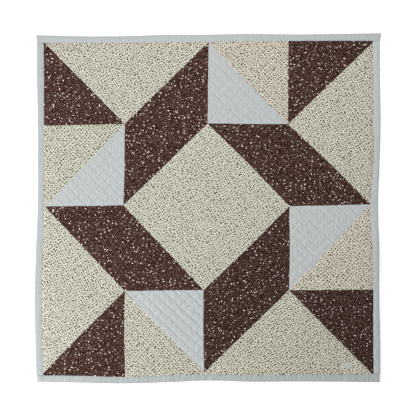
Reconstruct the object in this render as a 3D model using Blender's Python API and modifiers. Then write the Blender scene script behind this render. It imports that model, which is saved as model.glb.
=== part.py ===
"""A quilted blanket lying flat: one padded quilt in a diamond lattice, four binding strips and a tag.

Metres, +Z up, +Y towards the head of the blanket. The origin is on the surface that it lies on,
under the middle of its outline.

Every piece is first laid out on a true rectangle. laid() then moves each point sideways to the
uneven outline of the real cloth, which EDGES gives at nine stations along each side.
"""

from collections.abc import Callable
from math import ceil, cos, floor, pi, radians, sin, sqrt
from typing import NamedTuple

import bmesh
import bpy
from mathutils import Matrix, Vector

MM = 0.001

# Outline, before its edges wander
BLANKET_WIDE = 0.998
BLANKET_HIGH = 1.010
BINDING_WIDE = 0.020

# Padded quilt: heights above the surface that it lies on
STITCH_HIGH = 3.0 * MM
CROWN_HIGH = 6.0 * MM
EDGE_HIGH = 3.2 * MM
EDGE_LOW = 1.4 * MM
TAG_SEAT_HIGH = 3.9 * MM

# Diamond lattice of the quilting, corner to corner, and one of its crossings
DIAMOND_WIDE = 31.7 * MM
DIAMOND_HIGH = 30.8 * MM
CROSSING = Vector((0.4 * MM, 7.3 * MM, 0.0))
LEAST_SLICE = 0.8 * MM

# Folded binding
CLOTH_THICK = 1.0 * MM
FOLD_HIGH = 4.6 * MM
FOLD_STEPS = 4
STRIP_STEPS = 24

# Clear distances between pieces
SIDE_GAP = 0.5 * MM
TUCK_GAP = 0.8 * MM
LAY_GAP = 0.3 * MM

# Tag, sewn flat near the foot corner
TAG_WIDE = 33.5 * MM
TAG_HIGH = 15.0 * MM
TAG_THICK = 1.0 * MM
TAG_CENTRE = Vector((402.5 * MM, -459.5 * MM, 0.0))
TAG_MARGIN = 9.0 * MM

# Cloth colours and finish
CREAM = (0.46, 0.43, 0.34)
BLUE_GREY = (0.50, 0.54, 0.54)
PALE_GREY = (0.58, 0.58, 0.56)
COTTON_ROUGHNESS = 0.9
RIBBON_ROUGHNESS = 0.7

PANEL_X = BLANKET_WIDE / 2 - BINDING_WIDE
PANEL_Y = BLANKET_HIGH / 2 - BINDING_WIDE
QUILT_X = PANEL_X - SIDE_GAP
QUILT_Y = PANEL_Y - SIDE_GAP
TUCK = BINDING_WIDE - CLOTH_THICK - TUCK_GAP


class EdgeRow(NamedTuple):
    """One station along the sides, in mm: how far each edge stands out of true, and its binding's width.

    The stations run from foot to head on the left and right edges, and from left to right on the
    foot and head edges, evenly from corner to corner.
    """

    left_out: float
    left_wide: float
    right_out: float
    right_wide: float
    foot_out: float
    foot_wide: float
    head_out: float
    head_wide: float


EDGES = (
    EdgeRow(-1.1, 19.8, 1.5, 18.9, -1.0, 18.0, -3.9, 20.4),
    EdgeRow(2.5, 18.7, 1.8, 20.6, 1.9, 19.7, -5.4, 19.7),
    EdgeRow(4.0, 18.9, -0.2, 18.6, 4.1, 18.8, -4.3, 19.7),
    EdgeRow(1.4, 19.7, 0.8, 21.4, 1.6, 20.0, -1.0, 21.5),
    EdgeRow(-3.1, 18.4, -4.3, 23.0, -4.0, 17.4, -0.8, 20.3),
    EdgeRow(-4.7, 17.1, 0.2, 18.5, 0.1, 18.8, 2.0, 21.3),
    EdgeRow(-4.0, 17.8, 3.7, 21.7, -0.1, 19.5, 1.2, 19.9),
    EdgeRow(-1.7, 20.1, 1.1, 20.5, 0.8, 21.3, 2.2, 20.4),
    EdgeRow(-0.8, 20.4, 2.4, 22.4, 1.6, 24.7, 4.8, 23.0),
)


class Side(NamedTuple):
    """One side of the blanket: its edge's name, its outward direction and the way along it."""

    edge: str
    outward: Vector
    along: Vector
    half_length: float
    panel_reach: float
    closed_ends: bool


SIDES = {
    "left": Side("left", Vector((-1, 0, 0)), Vector((0, 1, 0)), PANEL_Y - SIDE_GAP, PANEL_X, False),
    "right": Side("right", Vector((1, 0, 0)), Vector((0, 1, 0)), PANEL_Y - SIDE_GAP, PANEL_X, False),
    "foot": Side("foot", Vector((0, -1, 0)), Vector((1, 0, 0)), BLANKET_WIDE / 2, PANEL_Y, True),
    "head": Side("head", Vector((0, 1, 0)), Vector((1, 0, 0)), BLANKET_WIDE / 2, PANEL_Y, True),
}


def clamp(value: float) -> float:
    """The value, kept from 0 to 1."""
    return min(1.0, max(0.0, value))


def read_edges(column: str, share: float) -> float:
    """One column of EDGES at a share of the side's length, on a smooth curve through its stations."""
    values = [getattr(row, column) for row in EDGES]
    last = len(values) - 1
    place = clamp(share) * last
    start = min(floor(place), last - 1)
    before, first, second, after = (values[min(max(start + step, 0), last)] for step in (-1, 0, 1, 2))
    t = place - start
    bend = 2 * before - 5 * first + 4 * second - after
    turn = 3 * first - before - 3 * second + after
    return 0.5 * (2 * first + (second - before) * t + bend * t * t + turn * t**3) * MM


def stands_out(edge: str, share: float, beyond: float) -> float:
    """How far a side's points move outwards. beyond is 0 at the panel's edge and 1 at the outer edge."""
    outer = read_edges(f"{edge}_out", share)
    inner = outer + BINDING_WIDE - read_edges(f"{edge}_wide", share)
    return inner + (outer - inner) * beyond


def laid(point: Vector) -> Vector:
    """The place in the laid cloth of a point given on the true rectangle."""
    across = clamp((point.x + PANEL_X) / (2 * PANEL_X))
    up = clamp((point.y + PANEL_Y) / (2 * PANEL_Y))
    beyond_x = clamp((abs(point.x) - PANEL_X) / BINDING_WIDE)
    beyond_y = clamp((abs(point.y) - PANEL_Y) / BINDING_WIDE)
    rise = (point.y + BLANKET_HIGH / 2) / BLANKET_HIGH
    run = (point.x + BLANKET_WIDE / 2) / BLANKET_WIDE
    left, right = (stands_out(edge, rise, beyond_x) for edge in ("left", "right"))
    foot, head = (stands_out(edge, run, beyond_y) for edge in ("foot", "head"))
    shift = Vector((across * right - (1 - across) * left, up * head - (1 - up) * foot, 0.0))
    return point + shift


def lattice() -> bmesh.types.BMesh:
    """The quilt's face as one flat diamond for each quilted cell, cut off at the panel's edges."""
    count = 2 * ceil(PANEL_X / DIAMOND_WIDE + PANEL_Y / DIAMOND_HIGH + 1)
    mesh = bmesh.new()
    bmesh.ops.create_grid(mesh, x_segments=count, y_segments=count, size=count / 2)
    widen = Matrix.Diagonal((DIAMOND_WIDE / sqrt(2), DIAMOND_HIGH / sqrt(2), 1.0, 1.0))
    turn = Matrix.Rotation(radians(45), 4, "Z")
    bmesh.ops.transform(mesh, matrix=Matrix.Translation(CROSSING) @ widen @ turn, verts=mesh.verts)
    for reach, normal in (
        (QUILT_X, Vector((1, 0, 0))),
        (QUILT_X, Vector((-1, 0, 0))),
        (QUILT_Y, Vector((0, 1, 0))),
        (QUILT_Y, Vector((0, -1, 0))),
    ):
        bmesh.ops.bisect_plane(
            mesh,
            geom=mesh.verts[:] + mesh.edges[:] + mesh.faces[:],
            dist=LEAST_SLICE,
            plane_co=normal * reach,
            plane_no=normal,
            clear_outer=True,
        )
    for point in mesh.verts:
        point.co = square_up(point.co)
    return mesh


def square_up(place: Vector) -> Vector:
    """A point that lies almost on the panel's edge, put exactly on it."""
    x = sized(place.x, QUILT_X) if abs(place.x) > QUILT_X - LEAST_SLICE else place.x
    y = sized(place.y, QUILT_Y) if abs(place.y) > QUILT_Y - LEAST_SLICE else place.y
    return Vector((x, y, place.z))


def sized(value: float, size: float) -> float:
    """size, with the sign of value."""
    return size if value > 0 else -size


def crown_of(centre: Vector, area: float) -> float:
    """The height of a cell's crown: lower in a cell that the edge cuts, and under the tag."""
    whole = DIAMOND_WIDE * DIAMOND_HIGH / 2
    crown = STITCH_HIGH + (CROWN_HIGH - STITCH_HIGH) * min(1.0, sqrt(area / whole))
    off = centre - TAG_CENTRE
    under_tag = abs(off.x) < TAG_WIDE / 2 + TAG_MARGIN and abs(off.y) < TAG_HIGH / 2 + TAG_MARGIN
    return min(crown, TAG_SEAT_HIGH) if under_tag else crown


def next_ring(mesh: bmesh.types.BMesh, ring: list, place: Callable[[Vector], Vector]) -> list:
    """Extrudes an open ring of edges, moves the new points with place() and returns the new ring."""
    made = bmesh.ops.extrude_edge_only(mesh, edges=ring)["geom"]
    for item in made:
        if isinstance(item, bmesh.types.BMVert):
            item.co = place(item.co)
    return [item for item in made if isinstance(item, bmesh.types.BMEdge) and item.is_boundary]


def tucked(place: Vector, now: float, then: float) -> Vector:
    """A point of the quilt's edge, moved from one depth in the binding's fold to another."""
    x = sized(place.x, QUILT_X + then) if abs(place.x) > QUILT_X + now - LEAST_SLICE / 2 else place.x
    y = sized(place.y, QUILT_Y + then) if abs(place.y) > QUILT_Y + now - LEAST_SLICE / 2 else place.y
    return Vector((x, y, place.z))


def make_quilt() -> bmesh.types.BMesh:
    """The padded quilt: crowned diamonds above, a thin edge tucked in the binding, a flat back."""
    mesh = lattice()
    for point in mesh.verts:
        point.co.z = EDGE_HIGH if point.is_boundary else STITCH_HIGH
    areas = [face.calc_area() for face in mesh.faces]
    centres = bmesh.ops.poke(mesh, faces=mesh.faces[:], center_mode="MEAN")["verts"]
    for point, area in zip(centres, areas):
        point.co.z = crown_of(point.co, area)
    ring = [edge for edge in mesh.edges if edge.is_boundary]
    ring = next_ring(mesh, ring, lambda place: tucked(place, 0.0, TUCK))
    ring = next_ring(mesh, ring, lambda place: Vector((place.x, place.y, EDGE_LOW)))
    ring = next_ring(mesh, ring, lambda place: tucked(place, TUCK, 0.0))
    ring = next_ring(mesh, ring, lambda place: Vector((place.x, place.y, 0.0)))
    bmesh.ops.edgeloop_fill(mesh, edges=ring)
    return mesh


def fold_profile() -> list[tuple[float, float]]:
    """The binding's folded section as (out from the panel's edge, height): top leg, fold, under leg."""
    radius = FOLD_HIGH / 2
    centre = BINDING_WIDE - radius
    angles = (pi / 2 - pi * step / FOLD_STEPS for step in range(FOLD_STEPS + 1))
    bend = [(centre + radius * cos(angle), radius + radius * sin(angle)) for angle in angles]
    return [(0.0, FOLD_HIGH), *bend, (0.0, 0.0)]


def make_binding(side: Side) -> bmesh.types.BMesh:
    """One binding strip as an open sheet folded round the edge, closed at the ends if it runs full width."""
    profile = fold_profile()
    mesh = bmesh.new()
    bmesh.ops.create_grid(mesh, x_segments=STRIP_STEPS, y_segments=len(profile) - 1, size=0.5)
    ends: dict[float, list] = {-0.5: [], 0.5: []}
    for point in sorted(mesh.verts, key=lambda vert: vert.co.y):
        share, step = point.co.x, round((point.co.y + 0.5) * (len(profile) - 1))
        out, high = profile[step]
        reach = side.outward * (side.panel_reach + out)
        point.co = reach + side.along * (share * 2 * side.half_length) + Vector((0, 0, high))
        if share in ends:
            ends[share].append(point)
    if side.closed_ends:
        for points in ends.values():
            mesh.faces.new(points)
    bmesh.ops.recalc_face_normals(mesh, faces=mesh.faces[:])
    return mesh


def make_tag() -> bmesh.types.BMesh:
    """The bare tag, a small flat piece of ribbon resting on the cells pressed down under it."""
    mesh = bmesh.new()
    bmesh.ops.create_cube(mesh, size=1.0)
    size = Matrix.Diagonal((TAG_WIDE, TAG_HIGH, TAG_THICK, 1.0))
    middle = TAG_CENTRE + Vector((0, 0, TAG_SEAT_HIGH + LAY_GAP + TAG_THICK / 2))
    bmesh.ops.transform(mesh, matrix=Matrix.Translation(middle) @ size, verts=mesh.verts)
    return mesh


def cloth(name: str, colour: tuple[float, float, float], roughness: float) -> bpy.types.Material:
    """A plain cloth material for one piece."""
    material = bpy.data.materials.new(name)
    material.use_nodes = True
    shader = material.node_tree.nodes["Principled BSDF"]
    shader.inputs["Base Color"].default_value = (*colour, 1.0)
    shader.inputs["Roughness"].default_value = roughness
    shader.inputs["Metallic"].default_value = 0.0
    material.diffuse_color = (*colour, 1.0)
    return material


def place_piece(
    name: str,
    mesh: bmesh.types.BMesh,
    material: bpy.types.Material,
    collection: bpy.types.Collection,
) -> bpy.types.Object:
    """Lays a piece's mesh to the cloth's outline and links it as a named object."""
    for point in mesh.verts:
        point.co = laid(point.co)
    data = bpy.data.meshes.new(name)
    bmesh.ops.recalc_face_normals(mesh, faces=mesh.faces[:])
    mesh.to_mesh(data)
    mesh.free()
    data.materials.append(material)
    piece = bpy.data.objects.new(name, data)
    collection.objects.link(piece)
    return piece


def thicken(piece: bpy.types.Object) -> None:
    """Gives a folded sheet the cloth's thickness, inwards from its outer face."""
    solid = piece.modifiers.new("cloth", "SOLIDIFY")
    solid.thickness = CLOTH_THICK
    solid.offset = -1.0
    solid.use_even_offset = True


def centre_on_outline(pieces: list[bpy.types.Object]) -> None:
    """Moves all the pieces together so that the middle of their outline is over the origin."""
    points = [point.co for piece in pieces for point in piece.data.vertices]
    middle_x = (min(place.x for place in points) + max(place.x for place in points)) / 2
    middle_y = (min(place.y for place in points) + max(place.y for place in points)) / 2
    for piece in pieces:
        piece.data.transform(Matrix.Translation((-middle_x, -middle_y, 0.0)))


def main() -> None:
    """Builds the blanket's pieces in an empty scene."""
    for thing in list(bpy.data.objects):
        bpy.data.objects.remove(thing)
    collection = bpy.data.collections.new("quilted_blanket")
    bpy.context.scene.collection.children.link(collection)
    pieced_top = cloth("pieced_cotton", CREAM, COTTON_ROUGHNESS)
    plain_cloth = cloth("plain_blue_grey_cotton", BLUE_GREY, COTTON_ROUGHNESS)
    ribbon = cloth("tag_ribbon", PALE_GREY, RIBBON_ROUGHNESS)
    pieces = [place_piece("quilt_body", make_quilt(), pieced_top, collection)]
    for side in SIDES.values():
        strip = place_piece(f"binding_{side.edge}", make_binding(side), plain_cloth, collection)
        thicken(strip)
        pieces.append(strip)
    pieces.append(place_piece("label", make_tag(), ribbon, collection))
    centre_on_outline(pieces)


main()
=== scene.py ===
"""The looks of a quilted patchwork blanket that lies flat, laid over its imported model.

Metres, +Z up, +Y towards the head of the blanket. Each cloth is worked out on a true rectangle, and
Outline.laid() then moves it sideways to the uneven edges of the real blanket.
"""

import logging
import math
from collections.abc import Iterable, Sequence
from dataclasses import dataclass, fields
from enum import Enum
from typing import NamedTuple

import bmesh
import bpy
import numpy as np
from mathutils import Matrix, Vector


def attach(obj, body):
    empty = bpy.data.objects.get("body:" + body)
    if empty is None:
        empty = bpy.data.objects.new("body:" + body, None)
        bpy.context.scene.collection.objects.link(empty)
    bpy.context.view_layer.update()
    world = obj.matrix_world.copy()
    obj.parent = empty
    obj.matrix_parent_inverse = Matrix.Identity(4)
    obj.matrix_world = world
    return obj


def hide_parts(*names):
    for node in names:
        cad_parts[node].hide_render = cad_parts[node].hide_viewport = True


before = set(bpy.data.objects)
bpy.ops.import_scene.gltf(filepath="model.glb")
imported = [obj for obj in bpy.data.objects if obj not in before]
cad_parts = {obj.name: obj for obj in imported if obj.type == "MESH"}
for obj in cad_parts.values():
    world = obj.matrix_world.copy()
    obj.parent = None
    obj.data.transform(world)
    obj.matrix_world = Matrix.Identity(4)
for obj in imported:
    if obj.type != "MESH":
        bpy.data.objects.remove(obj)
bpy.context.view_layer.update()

MM = 0.001
BODY = "root"
CLOTH_UV = "cloth"
CUT = "cut"
# How much lighter or darker a point's cloth is coloured: partly each cloth's own tone, partly painted light
# and shade on the patches and the binding strips.
TONE_AND_PAINTED_LIGHT = "tint"
BLUSH = "blush"

Array = np.ndarray
Colour = tuple[float, float, float]
Place = tuple[float, float]

log = logging.getLogger("quilted_blanket")


def linear(red: int, green: int, blue: int) -> Colour:
    """A colour from 0 to 255 as seen, turned into a shader's linear values."""
    shares = (value / 255 for value in (red, green, blue))
    return tuple(share / 12.92 if share <= 0.04045 else ((share + 0.055) / 1.055) ** 2.4 for share in shares)


def ramp(values: Array, start: float, end: float) -> Array:
    """0 up to the start, 1 from the end on, and even between them; the end may be the lower one."""
    return np.clip((values - start) / (end - start), 0, 1)


def eased(share: Array) -> Array:
    """A share from 0 to 1 with its start and end smoothed."""
    return share * share * (3 - 2 * share)


# Outline


class EdgeRow(NamedTuple):
    """One station along the sides, in mm: how far each edge stands out of true, and its binding's width.

    The stations run from foot to head on the left and right edges, and from left to right on the
    foot and head edges, evenly from corner to corner.
    """

    left_out: float
    left_wide: float
    right_out: float
    right_wide: float
    foot_out: float
    foot_wide: float
    head_out: float
    head_wide: float


EDGES = (
    EdgeRow(1.2, 22.1, 0.5, 17.9, 0.3, 19.3, -2.2, 22.1),
    EdgeRow(4.4, 20.6, 0.3, 19.1, 2.7, 20.5, -5.3, 19.8),
    EdgeRow(6.1, 21.0, -2.1, 16.7, 5.0, 19.7, -4.8, 19.2),
    EdgeRow(2.7, 21.0, -1.5, 19.1, 1.6, 20.0, -1.0, 21.5),
    EdgeRow(-2.3, 19.2, -5.2, 22.1, -3.5, 17.9, -0.3, 20.8),
    EdgeRow(-3.4, 18.4, -1.1, 17.2, -0.2, 18.5, 1.7, 21.0),
    EdgeRow(-3.0, 18.8, 2.4, 20.4, -0.9, 18.7, 0.5, 19.2),
    EdgeRow(-0.9, 20.9, 0.4, 19.8, -0.5, 20.0, 1.9, 20.1),
    EdgeRow(-1.1, 20.1, 0.4, 20.4, 0.6, 23.7, 3.7, 21.9),
)


@dataclass(frozen=True)
class Outline:
    """The blanket's true rectangle, and how its real edges wander from it."""

    wide: float = 0.998
    high: float = 1.010
    binding: float = 0.020

    @property
    def panel_x(self) -> float:
        """Half the width of the panel between the bindings."""
        return self.wide / 2 - self.binding

    @property
    def panel_y(self) -> float:
        """Half the height of the panel between the bindings."""
        return self.high / 2 - self.binding

    def read(self, column: str, share: Array) -> Array:
        """One column of EDGES, on a smooth curve through its stations.

        Args:
            column: The column's name.
            share: Places along the side, from 0 to 1.

        Returns:
            The column's sizes there, in metres.
        """
        values = np.array([getattr(row, column) for row in EDGES])
        last = len(values) - 1
        place = np.clip(share, 0, 1) * last
        start = np.minimum(np.floor(place).astype(int), last - 1)
        before, first, second, after = (values[np.clip(start + step, 0, last)] for step in (-1, 0, 1, 2))
        t = place - start
        bend = 2 * before - 5 * first + 4 * second - after
        turn = 3 * first - before - 3 * second + after
        return 0.5 * (2 * first + (second - before) * t + bend * t**2 + turn * t**3) * MM

    def stands_out(self, edge: str, share: Array, beyond: Array) -> Array:
        """How far a side's points move outwards.

        Args:
            edge: left, right, foot or head.
            share: Places along the side, from 0 to 1.
            beyond: 0 at the panel's edge and 1 at the outer edge.

        Returns:
            The outward moves, in metres.
        """
        outer = self.read(f"{edge}_out", share)
        inner = outer + self.binding - self.read(f"{edge}_wide", share)
        return inner + (outer - inner) * beyond

    def spread(self, x: Array, y: Array) -> tuple[Array, Array]:
        """Points of the true rectangle, moved with the cloth's uneven edges."""
        across = ramp(x, -self.panel_x, self.panel_x)
        up = ramp(y, -self.panel_y, self.panel_y)
        beyond_x = ramp(np.abs(x), self.panel_x, self.wide / 2)
        beyond_y = ramp(np.abs(y), self.panel_y, self.high / 2)
        rise = (y + self.high / 2) / self.high
        run = (x + self.wide / 2) / self.wide
        left, right = (self.stands_out(edge, rise, beyond_x) for edge in ("left", "right"))
        foot, head = (self.stands_out(edge, run, beyond_y) for edge in ("foot", "head"))
        return x + across * right - (1 - across) * left, y + up * head - (1 - up) * foot

    def middle(self) -> Place:
        """The middle of the uneven outline, which lies over the origin in the end."""
        way = np.linspace(-0.5, 0.5, 201)
        side = np.full_like(way, 0.5)
        x, _ = self.spread(np.append(-side, side) * self.wide, np.append(way, way) * self.high)
        _, y = self.spread(np.append(way, way) * self.wide, np.append(-side, side) * self.high)
        return (x.min() + x.max()) / 2, (y.min() + y.max()) / 2

    def laid(self, x: Array, y: Array) -> tuple[Array, Array]:
        """Points of the true rectangle, at their places in the laid blanket."""
        east, north = self.spread(x, y)
        middle_x, middle_y = self.middle()
        return east - middle_x, north - middle_y


OUTLINE = Outline()


# Node trees


class Strand:
    """One node output that Python expressions can use.

    Args:
        loom: The tree that holds the output.
        socket: The output.
    """

    def __init__(self, loom: "Loom", socket: bpy.types.NodeSocket) -> None:
        """Keeps the output with its tree."""
        self.loom = loom
        self.socket = socket

    def maths(self, operation: str, *others: "Strand | float") -> "Strand":
        """A Math node on this value and up to two others."""
        sockets = dict(zip(("Value", "Value_001", "Value_002"), (self, *others)))
        return self.loom.strand("ShaderNodeMath", {"operation": operation}, sockets)

    def after(self, operation: str, first: float) -> "Strand":
        """A Math node on a plain number and this value."""
        sockets = {"Value": first, "Value_001": self}
        return self.loom.strand("ShaderNodeMath", {"operation": operation}, sockets)

    def __add__(self, other: "Strand | float") -> "Strand":
        """The sum."""
        return self.maths("ADD", other)

    __radd__ = __add__

    def __sub__(self, other: "Strand | float") -> "Strand":
        """The difference."""
        return self.maths("SUBTRACT", other)

    def __rsub__(self, other: float) -> "Strand":
        """The difference from a number."""
        return self.after("SUBTRACT", other)

    def __mul__(self, other: "Strand | float") -> "Strand":
        """The product."""
        return self.maths("MULTIPLY", other)

    __rmul__ = __mul__

    def __truediv__(self, other: "Strand | float") -> "Strand":
        """The quotient."""
        return self.maths("DIVIDE", other)

    def __neg__(self) -> "Strand":
        """The value with its sign turned."""
        return self * -1.0

    def __abs__(self) -> "Strand":
        """The value without its sign."""
        return self.maths("ABSOLUTE")

    def fades(self, reach: "Strand | float") -> "Strand":
        """1 at nothing, falling away exponentially over a distance."""
        return (-self / reach).maths("EXPONENT")

    def smooth(self, low: "Strand | float", high: "Strand | float") -> "Strand":
        """A smooth step from 0 at low to 1 at high."""
        sockets = {"Value": self, "From Min": low, "From Max": high}
        return self.loom.strand("ShaderNodeMapRange", {"interpolation_type": "SMOOTHSTEP"}, sockets)


class Loom:
    """Adds nodes to one tree.

    Args:
        tree: A material's or modifier's node tree.
    """

    def __init__(self, tree: bpy.types.NodeTree) -> None:
        """Keeps the tree."""
        self.tree = tree

    @staticmethod
    def find(sockets: Iterable[bpy.types.NodeSocket], key: str) -> bpy.types.NodeSocket:
        """The socket with this identifier, or else with this name."""
        named = [socket for socket in sockets if socket.identifier == key]
        return (named or [socket for socket in sockets if socket.name == key])[0]

    def node(self, kind: str, settings: dict | None = None, sockets: dict | None = None) -> bpy.types.Node:
        """Adds one node.

        Args:
            kind: The node's type.
            settings: Its properties, which are set first.
            sockets: Values, or strands to link, by socket identifier or name.

        Returns:
            The node.
        """
        node = self.tree.nodes.new(kind)
        for name, value in (settings or {}).items():
            setattr(node, name, value)
        for key, value in (sockets or {}).items():
            socket = self.find(node.inputs, key)
            if isinstance(value, Strand):
                self.tree.links.new(value.socket, socket)
            else:
                socket.default_value = value
        return node

    def strands(self, node: bpy.types.Node, *outputs: str) -> list[Strand]:
        """Some of a node's outputs, by identifier or name."""
        return [Strand(self, self.find(node.outputs, key)) for key in outputs]

    def strand(self, kind: str, settings: dict | None = None, sockets: dict | None = None) -> Strand:
        """Adds one node and returns its first output that is in use."""
        node = self.node(kind, settings, sockets)
        return Strand(self, next(socket for socket in node.outputs if socket.enabled))

    def split(self, vector: Strand) -> list[Strand]:
        """A vector's three numbers."""
        return self.strands(self.node("ShaderNodeSeparateXYZ", None, {"Vector": vector}), "X", "Y", "Z")

    def join(self, x: Strand | float, y: Strand | float, z: Strand | float = 0.0) -> Strand:
        """A vector of three numbers."""
        return self.strand("ShaderNodeCombineXYZ", None, {"X": x, "Y": y, "Z": z})

    def shift(self, vector: Strand, step: Sequence[float] | Strand, operation: str = "ADD") -> Strand:
        """A Vector Math node on two vectors."""
        sockets = {"Vector": vector, "Vector_001": step}
        return self.strand("ShaderNodeVectorMath", {"operation": operation}, sockets)

    def length(self, vector: Strand) -> Strand:
        """A vector's length."""
        node = self.node("ShaderNodeVectorMath", {"operation": "LENGTH"}, {"Vector": vector})
        return self.strands(node, "Value")[0]

    def noise(self, place: Strand, scale: float, detail: float = 0.0) -> Strand:
        """Smooth flat noise from about -1 to 1."""
        sockets = {"Vector": place, "Scale": scale, "Detail": detail}
        node = self.node("ShaderNodeTexNoise", {"noise_dimensions": "2D"}, sockets)
        return (self.strands(node, "Fac")[0] - 0.5) * 2.0

    def strays(
        self, place: Strand, steps: Sequence[float], scale: float, detail: float = 0.0
    ) -> list[Strand]:
        """The same noise read at several steps, so that the results don't follow each other."""
        return [self.noise(self.shift(place, (step, step, 0.0)), scale, detail) for step in steps]

    def blend(self, share: Strand | float, under: Strand | Colour, over: Strand | Colour) -> Strand:
        """A mix of two colours."""
        sockets = {"Factor_Float": share}
        for key, colour in (("A_Color", under), ("B_Color", over)):
            sockets[key] = colour if isinstance(colour, Strand) else (*colour, 1.0)
        return self.strand("ShaderNodeMix", {"data_type": "RGBA"}, sockets)

    def tone(self, colour: Strand, share: Strand, blush: Strand | float = 0.0) -> Strand:
        """A colour made lighter or darker, as 1 plus the share, and a little redder by its blush."""
        level = share + 1.0
        return self.shift(colour, self.join(level + blush, level, level), "MULTIPLY")


# Finishes

# Waves in a metre of cloth
SLUB_ALONG = 60.0
SLUB_ACROSS = 900.0
CLOUD_WAVES = 14.0
MOTTLE_WAVES = 300.0
CREASE_WAVES = 105.0
BEND_WAVES = 30.0

CREASE_STRETCH = 1.4
DULL_SHINE = 0.05


@dataclass(frozen=True)
class Finish:
    """What the finishes share: a name and how dull the surface is."""

    name: str
    roughness: float

    def material(self) -> bpy.types.Material:
        """The finish's material, made at its first use."""
        return bpy.data.materials.get(self.name) or self.mix()

    def mix(self) -> bpy.types.Material:
        """Makes the material and lets the finish fill its sockets."""
        made = bpy.data.materials.new(self.name)
        made.use_nodes = True
        shader = made.node_tree.nodes["Principled BSDF"]
        shader.inputs["Roughness"].default_value = self.roughness
        shader.inputs["Specular IOR Level"].default_value = DULL_SHINE
        self.fill(Loom(made.node_tree), shader)
        return made

    def fill(self, loom: Loom, shader: bpy.types.Node) -> None:
        """Links the finish's nodes to its shader."""
        raise NotImplementedError


@dataclass(frozen=True)
class Cotton(Finish):
    """A plain woven cotton, read along the cloth's own length and width.

    Its slub, cloud and mottle are the shares by which its colour varies: along thick yarns, in wide
    soft clouds and finely all over.
    """

    ground: Colour
    yarn: float = 0.55 * MM
    yarn_high: float = 0.05 * MM
    slub: float = 0.03
    cloud: float = 0.015
    mottle: float = 0.035
    crease_high: float = 1.0 * MM

    def fill(self, loom: Loom, shader: bpy.types.Node) -> None:
        """Colour with slubs and clouds, times the piece's own tint and blush, and a woven bump; the tint
        carries painted light and shade too.
        """
        place = loom.strand("ShaderNodeUVMap", {"uv_map": CLOTH_UV})
        colour = self.pattern(loom, place)
        east, north, _ = loom.split(place)
        slubs = loom.noise(loom.join(east * SLUB_ALONG, north * SLUB_ACROSS), 1.0, 1.0)
        slubs = slubs + loom.noise(loom.join(east * SLUB_ACROSS, north * SLUB_ALONG), 1.0, 1.0)
        clouds = loom.noise(place, CLOUD_WAVES, 2.0)
        mottles = loom.noise(place, MOTTLE_WAVES, 1.0)
        tint, blush = (
            loom.strands(loom.node("ShaderNodeAttribute", {"attribute_name": name}), "Fac")[0]
            for name in (TONE_AND_PAINTED_LIGHT, BLUSH)
        )
        # The tint is partly painted light and shade, partly the cloth's own tone.
        uneven = slubs * self.slub + clouds * self.cloud + mottles * self.mottle + tint
        colour = loom.tone(colour, uneven, blush)
        loom.tree.links.new(colour.socket, shader.inputs["Base Color"])
        waves = math.tau / (2 * self.yarn)
        weave = (east * waves).maths("SINE") * (north * waves).maths("SINE")
        creases = loom.noise(loom.join(east * CREASE_STRETCH, north), CREASE_WAVES, 3.0)
        high = weave + slubs + creases * (self.crease_high / self.yarn_high)
        bump = loom.strand("ShaderNodeBump", None, {"Distance": self.yarn_high, "Height": high})
        loom.tree.links.new(bump.socket, shader.inputs["Normal"])

    def pattern(self, loom: Loom, place: Strand) -> Strand:
        """The cloth's colours before slubs, tint and blush, here its ground all over."""
        return loom.blend(0.0, self.ground, self.ground)


@dataclass(frozen=True)
class Scatter:
    """One layer of small printed motifs, spread unevenly over the cloth.

    A motif reaches its size from its middle, and has lobes with notches between them. A share of the
    places is printed, from faint to full strength. The motifs vary in size by a share, and stray from
    their even rows the more the looser they are; the rows bend too. A motif can have a rim of another
    colour round it. The cloth's first place is so many motifs into the print.
    """

    ink: Colour
    spacing: float
    size: float
    lobes: int
    notch: float
    share: float
    faint: float
    loose: float = 0.8
    soft: float = 0.2 * MM
    vary: float = 0.5
    rim: Colour | None = None
    rim_wide: float = 1.3 * MM
    bend: float = 3.0 * MM
    start: tuple[int, int] = (40, 70)

    def print_on(self, loom: Loom, place: Strand, colour: Strand) -> Strand:
        """Prints the motifs, each with its rim where it has one.

        Args:
            loom: The material's tree.
            place: The cloth's flat coordinates, in metres.
            colour: What is printed on.

        Returns:
            The printed colour.
        """
        moved = loom.shift(place, (self.spacing * self.start[0], self.spacing * self.start[1], 0.0))
        bends = loom.strays(moved, (0.0, 5.0), BEND_WAVES)
        moved = loom.shift(moved, loom.join(*(bend * self.bend for bend in bends)))
        settings = {"voronoi_dimensions": "2D", "feature": "F1"}
        sockets = {"Vector": moved, "Scale": 1 / self.spacing, "Randomness": self.loose}
        cell = loom.node("ShaderNodeTexVoronoi", settings, sockets)
        chance, centre = loom.strands(cell, "Color", "Position")
        turn, grow, dark = loom.split(chance)
        local = loom.shift(moved, centre, "SUBTRACT")
        east, north, _ = loom.split(local)
        angle = north.maths("ARCTAN2", east) + turn * math.tau
        lobe = (angle * float(self.lobes)).maths("COSINE") * self.notch + (1.0 - self.notch)
        outside = loom.length(local) - lobe * (grow * self.vary + (1.0 - self.vary / 2)) * self.size
        rank = (dark - (1.0 - self.share)) / self.share
        printed = rank.maths("GREATER_THAN", 0.0)
        strength = (rank.maths("MAXIMUM", 0.0) * (1.0 - self.faint) + self.faint) * printed
        if self.rim is not None:
            rimmed = 1.0 - outside.smooth(self.rim_wide - self.soft, self.rim_wide + self.soft)
            colour = loom.blend(rimmed * strength, colour, self.rim)
        return loom.blend((1.0 - outside.smooth(-self.soft, self.soft)) * strength, colour, self.ink)


@dataclass(frozen=True)
class PrintedCotton(Cotton):
    """A cotton with a small all-over print of sprigs and flecks."""

    scatters: tuple[Scatter, ...] = ()

    def pattern(self, loom: Loom, place: Strand) -> Strand:
        """The ground with each scatter of motifs laid over it."""
        colour = loom.blend(0.0, self.ground, self.ground)
        for scatter in self.scatters:
            colour = scatter.print_on(loom, place, colour)
        return colour


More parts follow.
